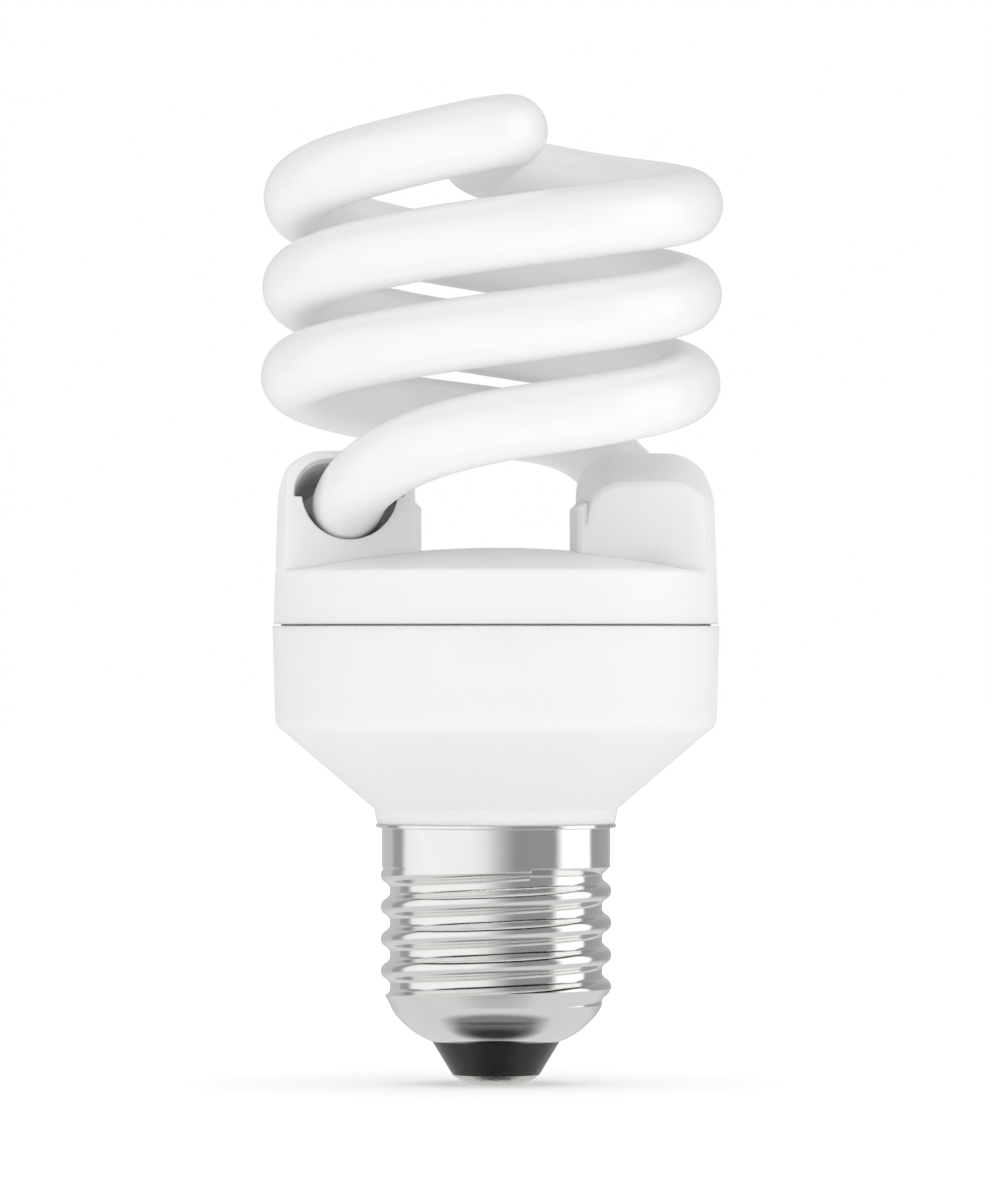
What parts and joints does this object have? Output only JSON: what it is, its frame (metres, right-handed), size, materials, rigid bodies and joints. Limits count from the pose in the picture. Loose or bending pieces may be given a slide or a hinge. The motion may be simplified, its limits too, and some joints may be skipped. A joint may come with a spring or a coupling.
{
  "type": "compact fluorescent lamp",
  "caption": "Spiral energy saving bulb: white double-helix glass tube with a bridge at the top, hooded white housing with a sloping shoulder, and an E27 screw cap",
  "frame": {"origin": "tip of the centre contact, on the lamp axis", "axes": "+Z along the lamp axis from the screw cap to the top of the spiral; the picture is taken from -Y, so +X is its right"},
  "size_m": [0.0523, 0.0524, 0.1109],
  "materials": {
    "coated_glass": "glass blown tube, white phosphor coat behind it, glossy",
    "white_plastic": "white heat-resistant moulding, satin",
    "plated_shell": "bright rolled metal",
    "black_glass": "black fused glass, glossy",
    "contact_metal": "tinned brass",
    "cement": "white lamp cement, rough",
    "board_laminate": "tan paper laminate",
    "can_sleeve": "dark shrink sleeve",
    "ferrite": "dark grey ferrite",
    "bobbin_plastic": "black moulding",
    "enamelled_copper": "enamelled copper wire",
    "black_epoxy": "moulded epoxy",
    "film_coat": "dipped coat",
    "resistor_coat": "flameproof coat",
    "thermistor_coat": "dipped coat",
    "tinned_wire": "tinned wire"
  },
  "bodies": {
    "root": {"discharge_tube": "coated_glass", "tube_cover": "white_plastic", "ballast_housing": "white_plastic", "screw_shell": "plated_shell", "cap_insulator": "black_glass", "centre_contact": "contact_metal", "cement_ring_front": "cement", "cement_ring_back": "cement", "circuit_board": "board_laminate", "bulk_capacitor": "can_sleeve", "choke_core": "ferrite", "choke_bobbin": "bobbin_plastic", "choke_winding": "enamelled_copper", "feedback_ring": "ferrite", "feedback_winding_1": "enamelled_copper", "feedback_winding_2": "enamelled_copper", "feedback_winding_3": "enamelled_copper", "filter_core": "ferrite", "filter_winding": "enamelled_copper", "transistor_high": "black_epoxy", "transistor_low": "black_epoxy", "film_capacitor": "film_coat", "snubber_capacitor": "film_coat", "diode_1": "black_epoxy", "diode_2": "black_epoxy", "diode_3": "black_epoxy", "diode_4": "black_epoxy", "fuse_resistor": "resistor_coat", "thermistor": "thermistor_coat", "contact_wire": "tinned_wire", "shell_wire": "tinned_wire", "lamp_wire_front_1": "tinned_wire", "wrap_post_front_1": "tinned_wire", "lamp_wire_front_2": "tinned_wire", "wrap_post_front_2": "tinned_wire", "lamp_wire_back_1": "tinned_wire", "wrap_post_back_1": "tinned_wire", "lamp_wire_back_2": "tinned_wire", "wrap_post_back_2": "tinned_wire"}
  },
  "joints": []
}
